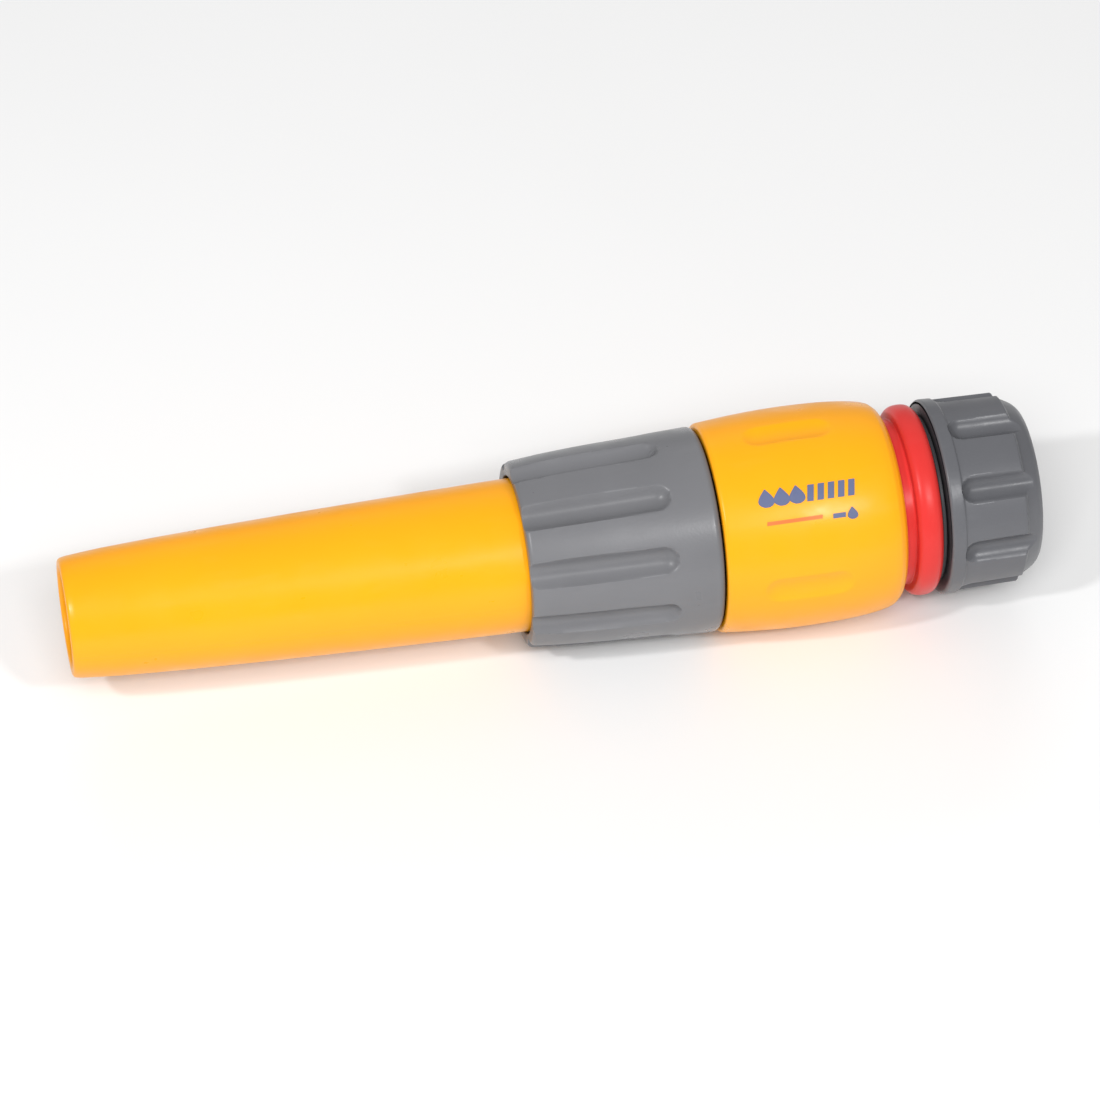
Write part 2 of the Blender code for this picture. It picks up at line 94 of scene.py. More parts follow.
# ---------------------------------------------------------------- mesh helpers
def soften(profile, corner, steps=4):
    """Rounds every corner of a closed profile. A third number on a point sets its own corner size."""
    out = []
    count = len(profile)
    for i in range(count):
        here = Vector(profile[i][:2])
        size = profile[i][2] if len(profile[i]) > 2 else corner
        before = Vector(profile[i - 1][:2])
        after = Vector(profile[(i + 1) % count][:2])
        back, ahead = before - here, after - here
        if size <= 0 or back.length < 1e-6 or ahead.length < 1e-6:
            out.append(tuple(here))
            continue
        reach_back = min(size, back.length * 0.45)
        reach_ahead = min(size, ahead.length * 0.45)
        start = here + back.normalized() * reach_back
        end = here + ahead.normalized() * reach_ahead
        for k in range(steps + 1):
            t = k / steps
            point = start * (1 - t) ** 2 + here * 2 * t * (1 - t) + end * t * t
            out.append(tuple(point))
    return out


def resampled(profile, step):
    """Splits the long stretches of a closed profile into pieces of about one step."""
    out = []
    count = len(profile)
    for i in range(count):
        a, b = Vector(profile[i]), Vector(profile[(i + 1) % count])
        pieces = max(1, math.ceil((b - a).length / step))
        for k in range(pieces):
            out.append(tuple(a.lerp(b, k / pieces)))
    return out


def to_world(height, radius, angle):
    """A point in metres, for an angle in radians."""
    return (-height * MM, radius * math.sin(angle) * MM, radius * math.cos(angle) * MM)


def new_mesh_object(name, verts, faces, material, body, replaced=()):
    mesh = bpy.data.meshes.new(name)
    mesh.from_pydata(verts, [], faces)
    mesh.validate()
    mesh.update()
    mesh.shade_smooth()
    mesh.set_sharp_from_angle(angle=SHARP)
    mesh.materials.append(material)
    obj = bpy.data.objects.new(name, mesh)
    bpy.context.scene.collection.objects.link(obj)
    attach(obj, body)
    if replaced:
        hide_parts(*replaced)
    return obj


def lathe(name, profile, segments, material, body, replaced=(), relief=None):
    """Turns a closed profile, drawn down its outer side and up its inner side, about the axis.

    relief(height, angle, radius, outer) gives the radius there. outer is true on the outer side.
    """
    verts = []
    count = len(profile)
    lowest = min(range(count), key=lambda i: profile[i][0])
    for s in range(segments):
        angle = 2 * math.pi * s / segments
        for i, (h, r) in enumerate(profile):
            radius = relief(h, angle, r, i <= lowest) if relief else r
            verts.append(to_world(h, radius, angle))
    faces = []
    for s in range(segments):
        t = (s + 1) % segments
        for i in range(count):
            j = (i + 1) % count
            faces.append((s * count + i, s * count + j, t * count + j, t * count + i))
    return new_mesh_object(name, verts, faces, material, body, replaced)


def solid_lathe(name, profile, segments, material, body, replaced=()):
    """Turns an open profile whose two ends lie on the axis."""
    inner = profile[1:-1]
    count = len(inner)
    verts = [to_world(profile[0][0], 0.0, 0.0), to_world(profile[-1][0], 0.0, 0.0)]
    for s in range(segments):
        angle = 2 * math.pi * s / segments
        verts += [to_world(h, r, angle) for h, r in inner]
    faces = []
    for s in range(segments):
        a, b = 2 + s * count, 2 + ((s + 1) % segments) * count
        faces.append((0, a, b))
        faces.append((1, b + count - 1, a + count - 1))
        faces += [(a + i, a + i + 1, b + i + 1, b + i) for i in range(count - 1)]
    return new_mesh_object(name, verts, faces, material, body, replaced)


def radius_at(profile, height):
    """Radius of an outer profile, listed from its top down, at a height."""
    if height >= profile[0][0]:
        return profile[0][1]
    for (h0, r0), (h1, r1) in zip(profile, profile[1:]):
        if h0 >= height >= h1 and h0 > h1:
            return r0 + (r1 - r0) * (h0 - height) / (h0 - h1)
    return profile[-1][1]


def smooth(t):
    """Eases from 0 to 1 as t goes from 0 to 1."""
    t = max(0.0, min(1.0, t))
    return t * t * (3 - 2 * t)


def groove(surface, across, beyond, bar, depth):
    """How far a round bar, sunk into a surface of this radius, cuts below it, with its edges eased.

    across is the distance from the bar's middle line and beyond the distance past its end.
    """
    reach = bar * bar - across * across - beyond * beyond
    floor = math.sqrt(max(0.0, reach)) - (bar - depth) - across * across / (2 * surface)
    if floor <= -EASE:
        return 0.0
    return floor if floor >= EASE else (floor + EASE) ** 2 / (4 * EASE)


def nearest_offset(angle, phase, count):
    """Signed angle in radians from the nearest of evenly spaced marks, with phase in degrees."""
    pitch = 2 * math.pi / count
    offset = (angle - math.radians(phase)) % pitch
    return offset - pitch if offset > pitch / 2 else offset


# ---------------------------------------------------------------- materials
def add(tree, kind, **values):
    """Adds a shader node and sets its properties."""
    node = tree.nodes.new(kind)
    for key, value in values.items():
        setattr(node, key, value)
    return node


def noise(tree, place, scale, detail=3.0, stretch=(1.0, 1.0, 1.0)):
    """Fractal noise at a place, with its coordinates stretched along each axis."""
    mapping = add(tree, "ShaderNodeMapping")
    mapping.inputs["Scale"].default_value = stretch
    tree.links.new(place, mapping.inputs["Vector"])
    node = add(tree, "ShaderNodeTexNoise")
    node.inputs["Scale"].default_value = scale
    node.inputs["Detail"].default_value = detail
    tree.links.new(mapping.outputs["Vector"], node.inputs["Vector"])
    return node.outputs["Fac"]


def ranged(tree, source, from_low, from_high, low, high):
    """Maps a socket's value from one range to another, clamped."""
    node = add(tree, "ShaderNodeMapRange")
    tree.links.new(source, node.inputs["Value"])
    for key, value in (("From Min", from_low), ("From Max", from_high), ("To Min", low), ("To Max", high)):
        node.inputs[key].default_value = value
    return node.outputs["Result"]


def mixed(tree, factor, first, second):
    """Mixes two colours, each a colour or a socket, by a factor socket."""
    node = add(tree, "ShaderNodeMix", data_type="RGBA")
    sockets = [s for s in node.inputs if s.type == "RGBA"]
    for socket, value in zip(sockets, (first, second)):
        if isinstance(value, tuple):
            socket.default_value = (*value, 1.0)
        else:
            tree.links.new(value, socket)
    tree.links.new(factor, node.inputs[0])
    return [s for s in node.outputs if s.type == "RGBA"][0]


def finish_material(
    name, colour, roughness, metallic=0.0, mottle=0.05, grain=1500.0, grain_depth=0.012,
    scuff=0.25, wear_and_crease_shade=0.12, brushed=None, specular=0.5, painted_shade=0.0,
):
    """Moulded plastic, rubber or metal: mottled colour, fine grain, scuffs and worn edges, with painted
    shade in its creases and, when asked, in its sheltered spots.
    """
    material = bpy.data.materials.new(name)
    material.use_nodes = True
    tree = material.node_tree
    shader = tree.nodes["Principled BSDF"]
    shader.inputs["Metallic"].default_value = metallic
    shader.inputs["Specular IOR Level"].default_value = specular
    place = add(tree, "ShaderNodeTexCoord").outputs["Object"]

    cloud = noise(tree, place, 45.0, 4.0)
    dark = tuple(c * (1 - mottle) for c in colour)
    light = tuple(min(1.0, c * (1 + mottle)) for c in colour)
    base = mixed(tree, ranged(tree, cloud, 0.3, 0.7, 0.0, 1.0), dark, light)

    streaks = noise(tree, place, 320.0, 3.0, brushed or (0.25, 1.0, 1.0))
    marks = ranged(tree, streaks, 0.6, 0.75, 0.0, 1.0)
    pale = tuple(min(1.0, c * 0.8 + 0.14) for c in colour)
    base = mixed(tree, ranged(tree, marks, 0.0, 1.0, 0.0, scuff * 0.25), base, pale)

    geometry = add(tree, "ShaderNodeNewGeometry")
    edge = ranged(tree, geometry.outputs["Pointiness"], 0.52, 0.60, 0.0, wear_and_crease_shade)
    base = mixed(tree, edge, base, pale)
    # Painted shade: creases darken towards a third of the colour, half again as strongly as the edges
    # wear.
    crease_shade = ranged(tree, geometry.outputs["Pointiness"], 0.42, 0.48, wear_and_crease_shade * 1.5, 0.0)
    base = mixed(tree, crease_shade, base, tuple(c * 0.35 for c in colour))
    # Painted shade: the colour darkens where ambient occlusion finds nearby surfaces, in the flutes and
    # where neighbouring pieces come close.
    if painted_shade:
        occlusion = add(tree, "ShaderNodeAmbientOcclusion", samples=6)
        occlusion.inputs["Distance"].default_value = 2.5 * MM
        occlusion_shade = ranged(tree, occlusion.outputs["AO"], 0.35, 0.97, painted_shade, 0.0)
        base = mixed(tree, occlusion_shade, base, tuple(c * 0.25 for c in colour))
    tree.links.new(base, shader.inputs["Base Color"])

    patch = noise(tree, place, 160.0, 4.0)
    rough = ranged(tree, patch, 0.3, 0.7, max(0.05, roughness - 0.06), min(1.0, roughness + 0.08))
    add_rough = add(tree, "ShaderNodeMath", operation="MULTIPLY_ADD")
    tree.links.new(marks, add_rough.inputs[0])
    add_rough.inputs[1].default_value = scuff * 0.3
    tree.links.new(rough, add_rough.inputs[2])
    tree.links.new(add_rough.outputs[0], shader.inputs["Roughness"])

    fine = noise(tree, place, grain, 2.0, brushed or (1.0, 1.0, 1.0))
    bump = add(tree, "ShaderNodeBump")
    bump.inputs["Strength"].default_value = 0.5
    bump.inputs["Distance"].default_value = grain_depth * MM
    tree.links.new(fine, bump.inputs["Height"])
    waves = add(tree, "ShaderNodeBump")
    waves.inputs["Strength"].default_value = 0.35
    waves.inputs["Distance"].default_value = 0.05 * MM
    tree.links.new(cloud, waves.inputs["Height"])
    tree.links.new(bump.outputs["Normal"], waves.inputs["Normal"])
    tree.links.new(waves.outputs["Normal"], shader.inputs["Normal"])
    return material


# Each finish's edge wear amount also sets the painted shade in its creases.
YELLOW = finish_material(
    "yellow_plastic", (0.92, 0.375, 0.004), 0.33, mottle=0.02, grain=1400.0, grain_depth=0.008,
    scuff=0.12, wear_and_crease_shade=0.06, specular=0.38,
)
# The two greys carry painted shade in their sheltered spots, through ambient occlusion.
COLLAR_GREY = finish_material(
    "collar_grey_plastic", (0.158, 0.159, 0.168), 0.32, mottle=0.06, grain=1900.0, grain_depth=0.030,
    scuff=0.3, wear_and_crease_shade=0.2, specular=0.5, painted_shade=0.75,
)
NUT_GREY = finish_material(
    "nut_grey_plastic", (0.110, 0.112, 0.122), 0.34, mottle=0.06, grain=1900.0, grain_depth=0.030,
    scuff=0.3, wear_and_crease_shade=0.2, specular=0.5, painted_shade=0.75,
)
DARK_GREY = finish_material(
    "dark_grey_plastic", (0.045, 0.046, 0.050), 0.5, mottle=0.08, grain=1900.0, grain_depth=0.025,
    scuff=0.25, wear_and_crease_shade=0.15,
)
RED = finish_material(
    "red_plastic", (0.64, 0.034, 0.030), 0.34, mottle=0.03, grain=1400.0, grain_depth=0.008,
    scuff=0.1, wear_and_crease_shade=0.06, specular=0.3,
)
WHITE = finish_material(
    "white_plastic", (0.68, 0.67, 0.63), 0.42, mottle=0.03, grain=1600.0, grain_depth=0.015,
    scuff=0.15, wear_and_crease_shade=0.05,
)
RUBBER = finish_material(
    "black_rubber", (0.016, 0.016, 0.017), 0.62, mottle=0.10, grain=2600.0, grain_depth=0.015,
    scuff=0.1, wear_and_crease_shade=0.05,
)
STEEL = finish_material(
    "steel", (0.56, 0.56, 0.57), 0.27, metallic=1.0, mottle=0.05, grain=2200.0, grain_depth=0.010,
    scuff=0.3, wear_and_crease_shade=0.05, brushed=(1.0, 0.12, 0.12),
)
BRASS = finish_material(
    "brass", (0.72, 0.47, 0.18), 0.25, metallic=1.0, mottle=0.06, grain=2400.0, grain_depth=0.010,
    scuff=0.3, wear_and_crease_shade=0.05, brushed=(4.0, 0.3, 0.3),
)
PRINT_BLUE = finish_material(
    "print_blue", (0.105, 0.125, 0.230), 0.5, mottle=0.12, grain=900.0, grain_depth=0.004,
    scuff=0.5, wear_and_crease_shade=0.0,
)
PRINT_ORANGE = finish_material(
    "print_orange", (0.78, 0.17, 0.035), 0.5, mottle=0.10, grain=900.0, grain_depth=0.004,
    scuff=0.5, wear_and_crease_shade=0.0,
)
BY_SLOT = {
    "yellow_plastic": YELLOW,
    "collar_grey_plastic": COLLAR_GREY,
    "nut_grey_plastic": NUT_GREY,
    "dark_grey_plastic": DARK_GREY,
    "red_plastic": RED,
    "white_plastic": WHITE,
    "black_rubber": RUBBER,
    "steel": STEEL,
    "brass": BRASS,
}


def paint_cad_nodes():
    """Every CAD node that stays takes the procedural finish of its slot."""
    slots = {s["node"]: s["material_slot"] for s in frame["record"]["subparts"]}
    for name, node in frame["nodes"].items():
        node.data.materials.clear()
        node.data.materials.append(BY_SLOT[slots[name]])


# ---------------------------------------------------------------- barrel
# Depth and half-width of the mould's parting lines, in millimetres.
SEAM_DEPTH = 0.035
SEAM_WIDTH = 0.10


def make_barrel():
    """The tapered barrel, open at both ends, with two faint parting lines along its sides."""
    profile = fitted([
        (183.0, 10.7), (182.7, 11.1), (181.7, 11.35), (176.0, 11.9, 3.0), (165.0, 12.5, 5.0),
        (150.0, 13.1, 7.0), (130.0, 13.72, 9.0), (98.0, 14.5, 9.0), (69.0, 14.5), (68.4, 14.1),
        (68.4, 11.6), (86.0, 11.6), (86.5, 12.4), (98.0, 12.4), (99.5, 10.0), (101.9, 10.0),
        (101.9, 12.1), (104.5, 12.1), (104.5, 10.0), (146.0, 10.0), (148.6, 7.0), (162.0, 7.0),
        (162.0, 8.75), (176.4, 8.75), (177.2, 9.2), (182.6, 9.4), (183.0, 9.8),
    ], "barrel")
    top = heights("barrel")[1]
    line = resampled(soften(profile, 0.35, steps=6), 1.6)

    def relief(h, angle, r, outer):
        if not outer or h > top - 1.0 or h < 98.0:
            return r
        seam = nearest_offset(angle, 90.0, 2) * r
        return r - SEAM_DEPTH * math.exp(-((seam / SEAM_WIDTH) ** 2))

    lathe("barrel_shell", line, 320, YELLOW, "twist_barrel", ["barrel"], relief)


def make_orifice():
    """The insert in the barrel's mouth: a cone inside, a throat and a spray bell."""
    profile = fitted([
        (177.0, 8.0), (176.6, 8.4), (162.3, 8.4), (162.3, 6.8), (164.0, 6.6), (169.0, 3.4),
        (173.0, 3.4), (177.0, 6.6),
    ], "orifice_insert")
    line = resampled(soften(profile, 0.3), 1.0)
    lathe("orifice_bell", line, 160, COLLAR_GREY, "twist_barrel", ["orifice_insert"])


def make_needle():
    """The jet needle with its shut-off head and its plug into the stem."""
    bottom, top, _ = heights("jet_pin")
    profile = [
        (top, 0.0), (top - 0.25, 0.55), (top - 0.8, 1.15), (top - 1.4, 1.5), (168.5, 2.2), (160.0, 2.5),
        (156.9, 2.5), (156.9, 6.0), (156.7, 6.2), (153.6, 6.6), (153.4, 6.45), (153.4, 4.8),
        (150.6, 4.8), (150.6, 6.5), (150.4, 6.6), (148.4, 6.4), (141.5, 5.4), (138.5, 5.4),
        (138.3, 5.2), (138.3, 3.5), (131.0, 3.5), (bottom, 2.9), (bottom, 0.0),
    ]
    solid_lathe("jet_needle", profile, 96, BRASS, "nozzle", ["jet_pin"])


# ---------------------------------------------------------------- grip collar
COLLAR_OUTER = [
    (98.0, 17.1), (97.4, 17.6), (92.0, 18.15), (84.0, 18.65), (73.0, 19.05), (63.0, 19.45), (62.1, 19.0),
]
FLUTES = 10
FLUTE_PHASE = 11.5
FLUTE_REAR = 73.0
FLUTE_BAR = 3.0
FLUTE_DEPTH = 1.7
# The surface that the flutes are sunk into: its radius at their rear end, and its taper.
FLUTE_REAR_RADIUS = 19.05
FLUTE_DROP, FLUTE_RUN = 1.55, 29.0


def make_collar():
    """The grip collar, with flutes that run out through its front face."""
    inner = [(62.1, 9.5), (64.9, 9.5), (64.9, 16.5), (92.0, 15.3), (95.0, 14.95), (98.0, 14.95)]
    crown = [(h, r, 3.0) if 65.0 < h < 95.0 else (h, r, 0.35) for h, r in COLLAR_OUTER]
    line = resampled(soften(fitted(crown + inner, "grip_collar"), 0.3), 0.4)

    def relief(h, angle, r, outer):
        # The front face is lowered with the flutes, so that they stay open there.
        if h < 65.0 or not (outer or h > 97.9):
            return r
        surface = FLUTE_REAR_RADIUS - (h - FLUTE_REAR) * FLUTE_DROP / FLUTE_RUN
        across = nearest_offset(angle, FLUTE_PHASE, FLUTES) * surface
        cut = groove(surface, across, max(0.0, FLUTE_REAR - h), FLUTE_BAR, FLUTE_DEPTH)
        return min(r, surface - cut) if cut > 0 else r

    lathe("collar_grip", line, 480, COLLAR_GREY, "nozzle", ["grip_collar"], relief)


# ---------------------------------------------------------------- release sleeve and its print
SLEEVE_OUTER = [
    (61.7, 19.5), (61.2, 19.95), (56.0, 20.45), (50.0, 20.85), (44.0, 20.95), (38.0, 20.8),
    (33.5, 20.45), (30.0, 19.9), (28.4, 19.35), (27.3, 18.4), (26.7, 17.2),
]
RECESSES = 4
RECESS_PHASE = 4.0
RECESS_REAR = 41.0
RECESS_FRONT = 51.6
RECESS_BAR = 7.8
RECESS_DEPTH = 0.65
# The wedge ramp inside, which lifts the jaws: where it starts and ends, and its slope.
RAMP_REAR, RAMP_FRONT = 49.3, 53.5
RAMP_REAR_RADIUS = 14.9
RAMP_SLOPE = 0.75


def make_sleeve():
    """The release sleeve, with thumb recesses outside and the jaws' ramp inside."""
    ramp_top = RAMP_REAR_RADIUS + RAMP_SLOPE * (RAMP_FRONT - RAMP_REAR)
    inner = [
        (26.7, 15.95), (46.4, 15.95), (46.4, 13.35), (48.6, 13.35), (49.0, 14.7),
        (RAMP_REAR, RAMP_REAR_RADIUS), (RAMP_FRONT, ramp_top), (61.7, ramp_top),
    ]
    crown = [(h, r, 3.0) if 29.0 < h < 60.0 else (h, r, 0.35) for h, r in SLEEVE_OUTER]
    profile = fitted(crown + inner, "release_sleeve")
    line = resampled(soften(profile, 0.3, steps=6), 0.4)

    def relief(h, angle, r, outer):
        if not outer or not 35.0 < h < 58.0:
            return r
        across = nearest_offset(angle, RECESS_PHASE, RECESSES) * r
        beyond = max(0.0, h - RECESS_FRONT, RECESS_REAR - h)
        return r - groove(r, across, beyond, RECESS_BAR, RECESS_DEPTH)

    lathe("sleeve_shell", line, 400, YELLOW, "sleeve", ["release_sleeve"], relief)


PRINT_ANGLE = -46.0
PRINT_START = 54.7
# How far the print's patches stand proud of the sleeve, and how far they reach into it.
PRINT_PROUD = 0.05
PRINT_SUNK = -0.12


def print_shape(verts, faces, outline):
    """Adds a thin raised patch. outline lists (across, start, end): across runs up the sleeve and
    start and end run towards the hose, in millimetres from the print's corner."""
    rings = []
    for across, start, end in outline:
        ring = []
        corners = (PRINT_PROUD, start), (PRINT_PROUD, end), (PRINT_SUNK, end), (PRINT_SUNK, start)
        for lift, along in corners:
            h = PRINT_START - along
            radius = radius_at(SLEEVE_OUTER, h) + lift
            angle = math.radians(PRINT_ANGLE) + across / radius
            ring.append(len(verts))
            verts.append(to_world(h, radius, angle))
        rings.append(ring)
    for low, high in zip(rings, rings[1:]):
        for i in range(4):
            j = (i + 1) % 4
            faces.append((low[i], low[j], high[j], high[i]))
    faces.append(tuple(reversed(rings[0])))
    faces.append(tuple(rings[-1]))


def slanted_bar(start, width, low, high, slant):
    """A bar from low to high that leans by slant."""
    steps = 8
    out = []
    for k in range(steps + 1):
        t = k / steps
        out.append((low + (high - low) * t, start + slant * t, start + slant * t + width))
    return out


def drop(centre, low, size):
    """A water drop, round below and pointed above."""
    steps = 12
    out = []
    for k in range(steps + 1):
        t = 0.02 + 0.96 * k / steps
        half = 0.42 * size * (math.sin(math.pi * t ** 0.62))
        out.append((low + size * t, centre - half, centre + half))
    return out


def make_print():
    """A generic print: a row of drops and slanted bars, and an orange line with one small drop."""
    verts, faces = [], []
    for k in range(3):
        print_shape(verts, faces, drop(1.5 + 2.9 * k, 2.3, 3.6))
    for k in range(5):
        print_shape(verts, faces, slanted_bar(9.0 + 1.95 * k, 1.2, 2.5, 5.6, 0.55))
    print_shape(verts, faces, drop(17.2, -1.9, 2.4))
    print_shape(verts, faces, slanted_bar(13.4, 2.4, -1.3, -0.4, 0.1))
    new_mesh_object("sleeve_print_blue", verts, faces, PRINT_BLUE, "sleeve")
    verts, faces = [], []
    print_shape(verts, faces, slanted_bar(1.0, 10.4, -1.0, -0.3, 0.1))
    new_mesh_object("sleeve_print_orange", verts, faces, PRINT_ORANGE, "sleeve")


# ---------------------------------------------------------------- red ring
def make_ring():
    """The red ring: a rounded crown, with a skirt that runs in under the sleeve."""
    profile = fitted([
        (26.7, 15.65), (24.6, 15.65), (24.6, 17.1), (24.0, 17.8, 0.6), (23.0, 18.15, 0.8),
        (21.4, 18.15, 0.8), (20.5, 17.8, 0.6), (19.9, 17.1), (19.9, 14.9), (26.7, 14.9),
    ], "colour_ring")
    line = resampled(soften(profile, 0.25), 0.4)
    lathe("red_ring", line, 256, RED, "connector", ["colour_ring"])


# ---------------------------------------------------------------- hose nut
NUT_GROOVES = 9
NUT_PHASE = -45.0
NUT_GROOVE_FRONT = 13.5
NUT_GROOVE_BAR = 2.6
NUT_GROOVE_DEPTH = 1.9
NUT_LEAD = 4.0
NUT_THREAD_START = 10.6
# The surface that the grooves are sunk into: its radius at the rear, its rise and its length.
NUT_RIB_RADIUS = 18.0
NUT_RIB_REAR = 3.9
NUT_RIB_RISE, NUT_RIB_RUN = 0.2, 11.7
# Thread inside the nut: depth, half-width at its root, rear end, and the width of a flank.
NUT_THREAD_CUT = 0.7
NUT_THREAD_HALF = 1.25
NUT_THREAD_REAR = 8.8
THREAD_FLANK = 0.45


def thread_groove(h, angle, r):
    """Internal thread of the nut: a groove cut outward from its bore."""
    if h < NUT_THREAD_REAR or r < 13.4:
        return r
    phase = (h - NUT_THREAD_START - NUT_LEAD * angle / (2 * math.pi)) % NUT_LEAD
    away = min(phase, NUT_LEAD - phase)
    cut = NUT_THREAD_CUT * smooth((NUT_THREAD_HALF - away) / THREAD_FLANK)
    return r + cut * smooth((h - NUT_THREAD_REAR) / 0.4)


def make_nut():
    """The union nut: grip grooves outside, a screw thread inside."""
    profile = fitted([
        (18.6, 18.1), (18.2, 18.6), (15.9, 18.5, 0.15), (15.6, 18.2, 0.15), (3.9, 18.0),
        (3.6, 17.2), (1.0, 15.7, 0.6), (0.3, 15.0), (0.0, 14.5), (0.0, 8.9), (0.5, 8.6), (2.0, 8.6),
        (2.0, 10.2), (7.0, 12.0), (7.0, 13.65), (18.1, 13.65), (18.6, 14.0),
    ], "hose_nut")
    line = resampled(soften(profile, 0.3, steps=5), 0.3)

    def relief(h, angle, r, outer):
        if not outer:
            return thread_groove(h, angle, r)
        if h < 1.0 or h > 17.0:
            return r
        surface = NUT_RIB_RADIUS + NUT_RIB_RISE * (h - NUT_RIB_REAR) / NUT_RIB_RUN
        across = nearest_offset(angle, NUT_PHASE, NUT_GROOVES) * surface
        beyond = max(0.0, h - NUT_GROOVE_FRONT)
        cut = groove(surface, across, beyond, NUT_GROOVE_BAR, NUT_GROOVE_DEPTH)
        return min(r, surface - cut) if cut > 0 else r

    lathe("nut_grip", line, 432, NUT_GREY, "nut", ["hose_nut"], relief)


# ---------------------------------------------------------------- hose collet
def sector(verts, faces, profile, start, end, steps):
    """A closed block of a turned profile between two angles in radians."""
    base = len(verts)
    count = len(profile)
    for s in range(steps + 1):
        angle = start + (end - start) * s / steps
        verts += [to_world(h, r, angle) for h, r in profile]
    for s in range(steps):
        a, b = base + s * count, base + (s + 1) * count
        for i in range(count):
            j = (i + 1) % count
            faces.append((a + i, a + j, b + j, b + i))
    last = base + steps * count
    faces.append(tuple(base + i for i in reversed(range(count))))
    faces.append(tuple(last + i for i in range(count)))


def make_collet():
    """A ring with eight fingers, each with small teeth that bite the hose."""
    bottom, top, _ = heights("hose_collet")
    verts, faces = [], []
    finger = soften([
        (9.7, 11.45), (7.2, 11.45), (bottom, 9.9), (bottom, 8.3), (3.6, 8.3), (4.0, 8.6), (5.2, 8.25),
        (5.6, 8.6), (6.8, 8.25), (7.2, 8.6), (8.4, 8.25), (9.7, 8.25),
    ], 0.12, steps=2)
    slot = math.asin(0.7 / 10.0)
    for k in range(8):
        middle = math.radians(45.0 * k)
        half = math.pi / 8 - slot
        sector(verts, faces, finger, middle - half, middle + half, 12)
    collar = soften([(top, 11.2), (12.1, 11.45), (9.4, 11.45), (9.4, 8.25), (top, 8.25)], 0.15, steps=2)
    count, base, segments = len(collar), len(verts), 160
    for s in range(segments):
        verts += [to_world(h, r, 2 * math.pi * s / segments) for h, r in collar]
    for s in range(segments):
        a, b = base + s * count, base + ((s + 1) % segments) * count
        for i in range(count):
            j = (i + 1) % count
            faces.append((a + i, a + j, b + j, b + i))
    new_mesh_object("collet_fingers", verts, faces, WHITE, "collet", ["hose_collet"])


# ---------------------------------------------------------------- hose tail
# Thread on the tail: height, half-width at its root, and where it starts and ends.
TAIL_THREAD_RISE = 0.75
TAIL_THREAD_HALF = 0.95
TAIL_THREAD_REAR, TAIL_THREAD_FRONT = 10.3, 16.9


def make_tail():
    """The barbed tail, with its threaded skirt and the rear half of the body."""
    profile = fitted([
        (26.6, 14.6), (19.6, 14.6), (19.6, 15.9), (18.9, 15.9), (18.9, 13.2), (7.8, 13.2), (7.4, 12.8),
        (7.4, 12.0), (21.0, 12.0), (21.0, 8.6), (15.4, 8.6), (14.4, 6.4), (12.6, 6.4), (12.6, 6.95),
        (9.8, 6.35), (9.8, 6.95), (7.0, 6.35), (7.0, 6.95), (4.2, 6.35), (4.2, 6.95), (1.4, 6.1),
        (1.2, 5.8), (1.2, 4.9), (15.0, 4.9), (15.0, 6.6), (23.5, 6.6), (23.5, 12.2), (26.6, 12.2),
    ], "hose_tail")
    line = resampled(soften(profile, 0.15, steps=3), 0.4)

    def relief(h, angle, r, outer):
        if not (13.0 < r < 13.4 and 8.5 < h < 18.5):
            return r
        turns = angle / (2 * math.pi)
        phase = (h - NUT_THREAD_START - NUT_LEAD * turns + NUT_LEAD / 2) % NUT_LEAD - NUT_LEAD / 2
        centre = h - phase
        ends = smooth((centre - TAIL_THREAD_REAR) / 0.5) * smooth((TAIL_THREAD_FRONT - centre) / 0.5)
        return r + TAIL_THREAD_RISE * smooth((TAIL_THREAD_HALF - abs(phase)) / THREAD_FLANK) * ends

    lathe("tail_body", line, 240, DARK_GREY, "connector", ["hose_tail"], relief)


# ---------------------------------------------------------------- stage, light, camera
FLOOR_REACH = 3.0
FLOOR_GAP = 0.0002


def make_floor():
    """A plain pale floor just below the lowest CAD point."""
    z = CAD_LOW.z - FLOOR_GAP
    corners = [(x * FLOOR_REACH, y * FLOOR_REACH, z) for x, y in ((-1, -1), (1, -1), (1, 1), (-1, 1))]
    mesh = bpy.data.meshes.new("floor")
    mesh.from_pydata(corners, [], [(0, 1, 2, 3)])
    floor = bpy.data.objects.new("floor", mesh)
    bpy.context.scene.collection.objects.link(floor)
    material = bpy.data.materials.new("floor_paint")
    material.use_nodes = True
    tree = material.node_tree
    shader = tree.nodes["Principled BSDF"]
    place = add(tree, "ShaderNodeTexCoord").outputs["Object"]
    cloud = noise(tree, place, 6.0, 3.0)
    base = mixed(tree, cloud, (0.80, 0.80, 0.80), (0.84, 0.84, 0.84))
    tree.links.new(base, shader.inputs["Base Color"])
    shader.inputs["Roughness"].default_value = 0.8
    mesh.materials.append(material)


def direction(azimuth, elevation):
    """Unit vector from the object towards a view, with the angles in degrees. Azimuth 0 is -Y."""
    a, e = math.radians(azimuth), math.radians(elevation)
    return Vector((math.sin(a) * math.cos(e), -math.cos(a) * math.cos(e), math.sin(e)))


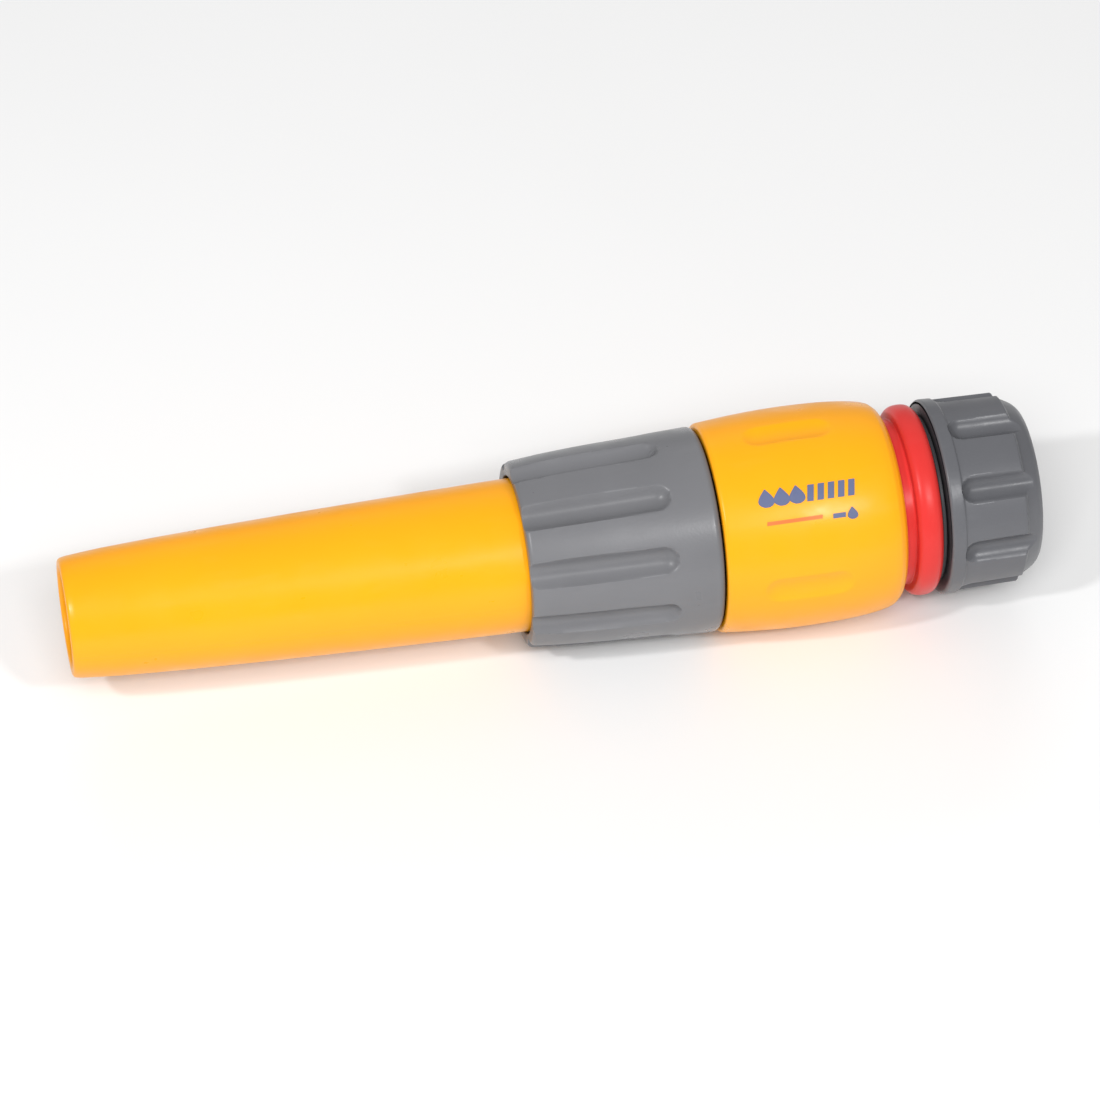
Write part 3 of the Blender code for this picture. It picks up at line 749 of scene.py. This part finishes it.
# Soft boxes: name, azimuth, elevation, distance, size, power, and whether gloss reflects them.
LIGHTS = [
    ("key", -12, 48, 1.2, (0.6, 0.45), 9.4, False),
    ("left_kicker", -56, 46, 1.0, (0.07, 0.07), 3.2, True),
    ("right_kicker", 22, 44, 1.0, (0.08, 0.08), 2.4, True),
    ("back", 170, 26, 1.1, (0.8, 0.4), 3.0, False),
]
WORLD_STRENGTH = 0.32


def make_light(name, azimuth, elevation, distance, size, power, glossy):
    data = bpy.data.lights.new(name, "AREA")
    data.shape = "RECTANGLE"
    data.size, data.size_y = size
    data.energy = power
    light = bpy.data.objects.new(name, data)
    towards = direction(azimuth, elevation)
    light.location = CENTRE + towards * distance
    light.visible_glossy = glossy
    light.rotation_mode = "QUATERNION"
    light.rotation_quaternion = (-towards).to_track_quat("-Z", "Y")
    bpy.context.scene.collection.objects.link(light)


def make_lights():
    world = bpy.data.worlds.new("studio")
    world.use_nodes = True
    background = world.node_tree.nodes["Background"]
    background.inputs["Color"].default_value = (1.0, 1.0, 1.0, 1.0)
    background.inputs["Strength"].default_value = WORLD_STRENGTH
    bpy.context.scene.world = world
    for light in LIGHTS:
        make_light(*light)


CAMERA_AZIMUTH = -11.4
CAMERA_ELEVATION = 44.0
CAMERA_DISTANCE = 1.0
FRAME_WIDTH = 0.206
SENSOR_WIDTH = 36.0


def make_camera():
    back = direction(CAMERA_AZIMUTH, CAMERA_ELEVATION)
    data = bpy.data.cameras.new("camera")
    data.sensor_width = SENSOR_WIDTH
    data.lens = SENSOR_WIDTH * CAMERA_DISTANCE / FRAME_WIDTH
    data.clip_start, data.clip_end = 0.01, 20.0
    camera = bpy.data.objects.new("camera", data)
    camera.location = CENTRE + back * CAMERA_DISTANCE
    camera.rotation_mode = "QUATERNION"
    camera.rotation_quaternion = (-back).to_track_quat("-Z", "Y")
    bpy.context.scene.collection.objects.link(camera)
    bpy.context.scene.camera = camera


paint_cad_nodes()
make_barrel()
make_orifice()
make_needle()
make_collar()
make_sleeve()
make_print()
make_ring()
make_nut()
make_collet()
make_tail()

make_floor()
make_lights()
make_camera()
bpy.context.scene.view_settings.view_transform = "Standard"
